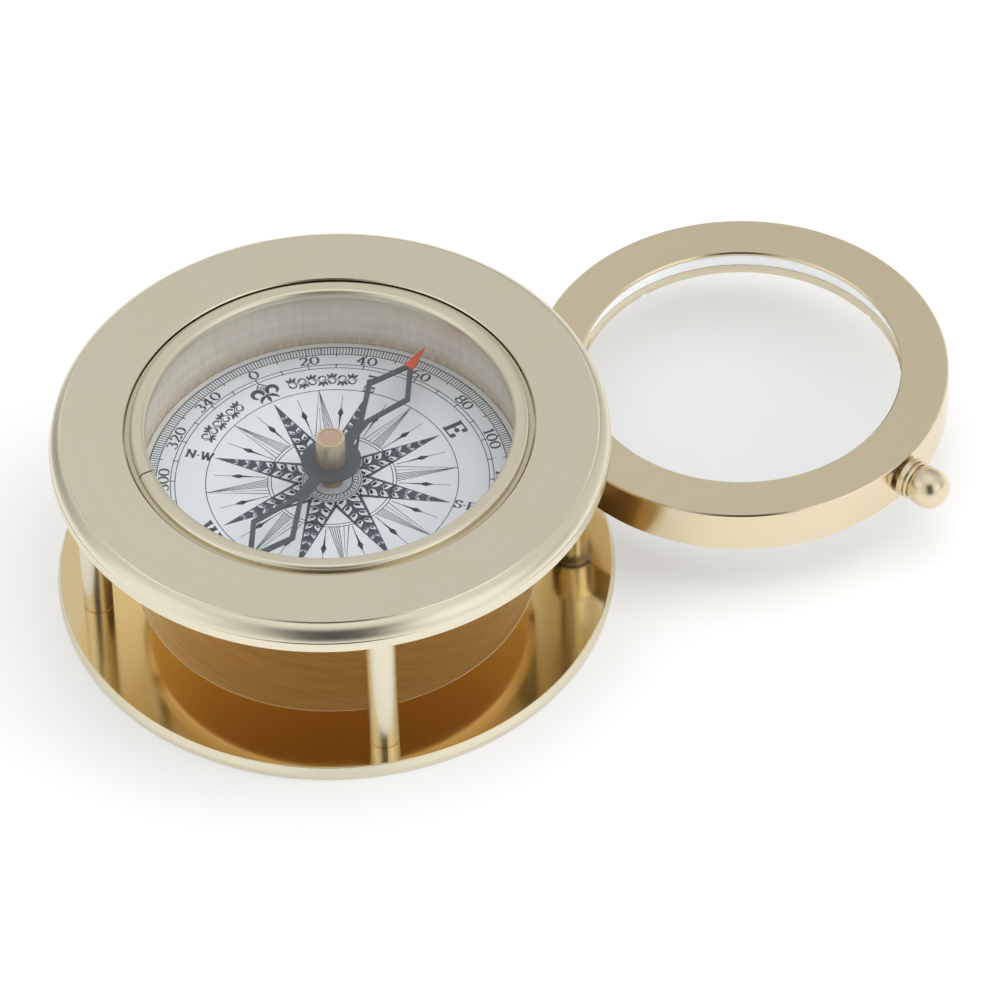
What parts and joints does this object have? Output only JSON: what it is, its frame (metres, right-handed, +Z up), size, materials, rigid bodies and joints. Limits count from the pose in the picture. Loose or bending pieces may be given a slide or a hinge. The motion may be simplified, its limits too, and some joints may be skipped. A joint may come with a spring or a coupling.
{
  "type": "desk compass",
  "caption": "Brass desk compass: a glazed dial in a round top plate on short posts over a polished base, with a round magnifying lens that swings out from the gap between them.",
  "frame": {"origin": "centre of the base plate's underside", "axes": "+Z up through the dial's centre; +X from the dial's centre to the lens's pivot post; the front pillar is at -Y and the gap that the lens swings through is open at +Y"},
  "size_m": [0.1331, 0.0829, 0.0312],
  "materials": {
    "polished_brass": "mirror polished, lacquered",
    "satin_brass": "satin, lightly polished",
    "pale_brass": "matt, pale",
    "copper_cap": "satin",
    "steel": "turned",
    "blued_steel": "blued, red at the north tip",
    "dial_paper": "printed in black",
    "jewel": "polished",
    "gasket": "matt",
    "window_glass": "polished",
    "lens_glass": "polished"
  },
  "bodies": {
    "body": {"base_plate": "polished_brass", "front_pillar": "polished_brass", "left_pillar": "polished_brass", "base_screws": "steel", "lower_pivot_post": "polished_brass", "upper_pivot_post": "polished_brass", "pivot_axle": "steel", "lower_friction_washer": "steel", "upper_friction_washer": "steel", "top_plate": "satin_brass", "compass_bowl": "pale_brass", "dial_plate": "pale_brass", "dial_card": "dial_paper", "pivot_pin": "satin_brass", "pivot_pin_nut": "satin_brass", "window_gasket": "gasket", "window_glass": "window_glass", "glass_retaining_ring": "satin_brass"},
    "magnifier": {"magnifier_frame": "satin_brass", "magnifier_lens": "lens_glass", "lens_retaining_ring": "satin_brass", "knob_stud": "steel", "knob_collar": "polished_brass", "knob_cap": "polished_brass"},
    "needle": {"compass_needle": "blued_steel", "needle_hub": "satin_brass", "needle_cap": "copper_cap", "cap_jewel": "jewel"}
  },
  "joints": [
    {"name": "magnifier_swing", "type": "hinge", "parent": "body", "child": "magnifier", "pos_m": [0.0348, 0, 0.012], "axis": [0, 0, 1], "range_deg": [-112, 160]},
    {"name": "needle_spin", "type": "hinge", "parent": "body", "child": "needle", "pos_m": [0, 0, 0.0227], "axis": [0, 0, 1], "continuous": true}
  ]
}
